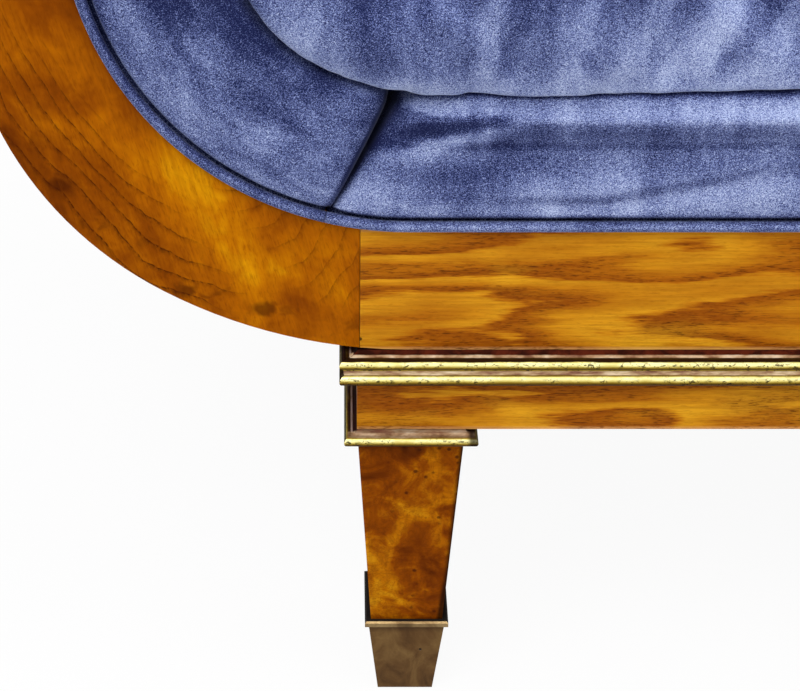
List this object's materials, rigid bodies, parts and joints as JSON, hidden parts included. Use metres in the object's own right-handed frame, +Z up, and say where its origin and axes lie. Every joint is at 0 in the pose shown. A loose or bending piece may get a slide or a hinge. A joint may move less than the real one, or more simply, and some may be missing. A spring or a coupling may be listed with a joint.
{
  "type": "sofa",
  "caption": "Sofa with rolled velvet arms on curved ash fronts, gilt bead moulding, tapered burl legs in brass sabots and a loose seat cushion.",
  "frame": {"origin": "on the floor, at the centre of the overall box", "axes": "+X along the sofa, towards the right arm as seen from the front; -Y the way the sofa faces; +Z up"},
  "size_m": [2.1212, 0.7782, 0.905],
  "materials": {
    "ash": "polished ash veneer",
    "burl": "polished burl veneer",
    "gilt": "worn gilding on wood",
    "brass": "aged brass",
    "velvet": "velvet pile",
    "piping": "velvet covered cord",
    "beech": "raw sawn",
    "canvas": "woven",
    "webbing": "jute straps with steel coils",
    "dust_cloth": "thin black cloth"
  },
  "bodies": {
    "sofa": {"front_seat_rail": "ash", "rear_seat_rail": "ash", "front_apron": "ash", "rear_apron": "ash", "rear_base_strip": "ash", "left_apron": "ash", "right_apron": "ash", "left_arm_front": "ash", "right_arm_front": "ash", "left_arm_rear": "ash", "right_arm_rear": "ash", "back_crest_rail": "ash", "front_left_leg": "burl", "front_right_leg": "burl", "rear_left_leg": "burl", "rear_right_leg": "burl", "front_gilt_moulding": "gilt", "left_gilt_moulding": "gilt", "right_gilt_moulding": "gilt", "front_left_leg_cap": "gilt", "front_right_leg_cap": "gilt", "rear_left_leg_cap": "gilt", "rear_right_leg_cap": "gilt", "front_left_sabot": "brass", "front_right_sabot": "brass", "rear_left_sabot": "brass", "rear_right_sabot": "brass", "seat_pad": "velvet", "left_arm_pad": "velvet", "right_arm_pad": "velvet", "back_pad": "velvet", "left_outside_arm": "velvet", "right_outside_arm": "velvet", "outside_back": "velvet", "seat_welt": "piping", "left_arm_welt": "piping", "right_arm_welt": "piping", "back_welt": "piping", "left_seat_rail": "beech", "right_seat_rail": "beech", "left_arm_top_rail": "beech", "right_arm_top_rail": "beech", "left_back_upright": "beech", "centre_back_upright": "beech", "right_back_upright": "beech", "front_left_corner_block": "beech", "front_right_corner_block": "beech", "rear_left_corner_block": "beech", "rear_right_corner_block": "beech", "left_arm_canvas": "canvas", "right_arm_canvas": "canvas", "seat_springs_and_webbing": "webbing", "dust_cover": "dust_cloth"},
    "cushion": {"seat_cushion": "velvet"}
  },
  "joints": [
    {"name": "seat_cushion_lift", "type": "slide", "parent": "sofa", "child": "cushion", "axis": [0, 0, 1], "range_m": [0, 0.5]}
  ]
}
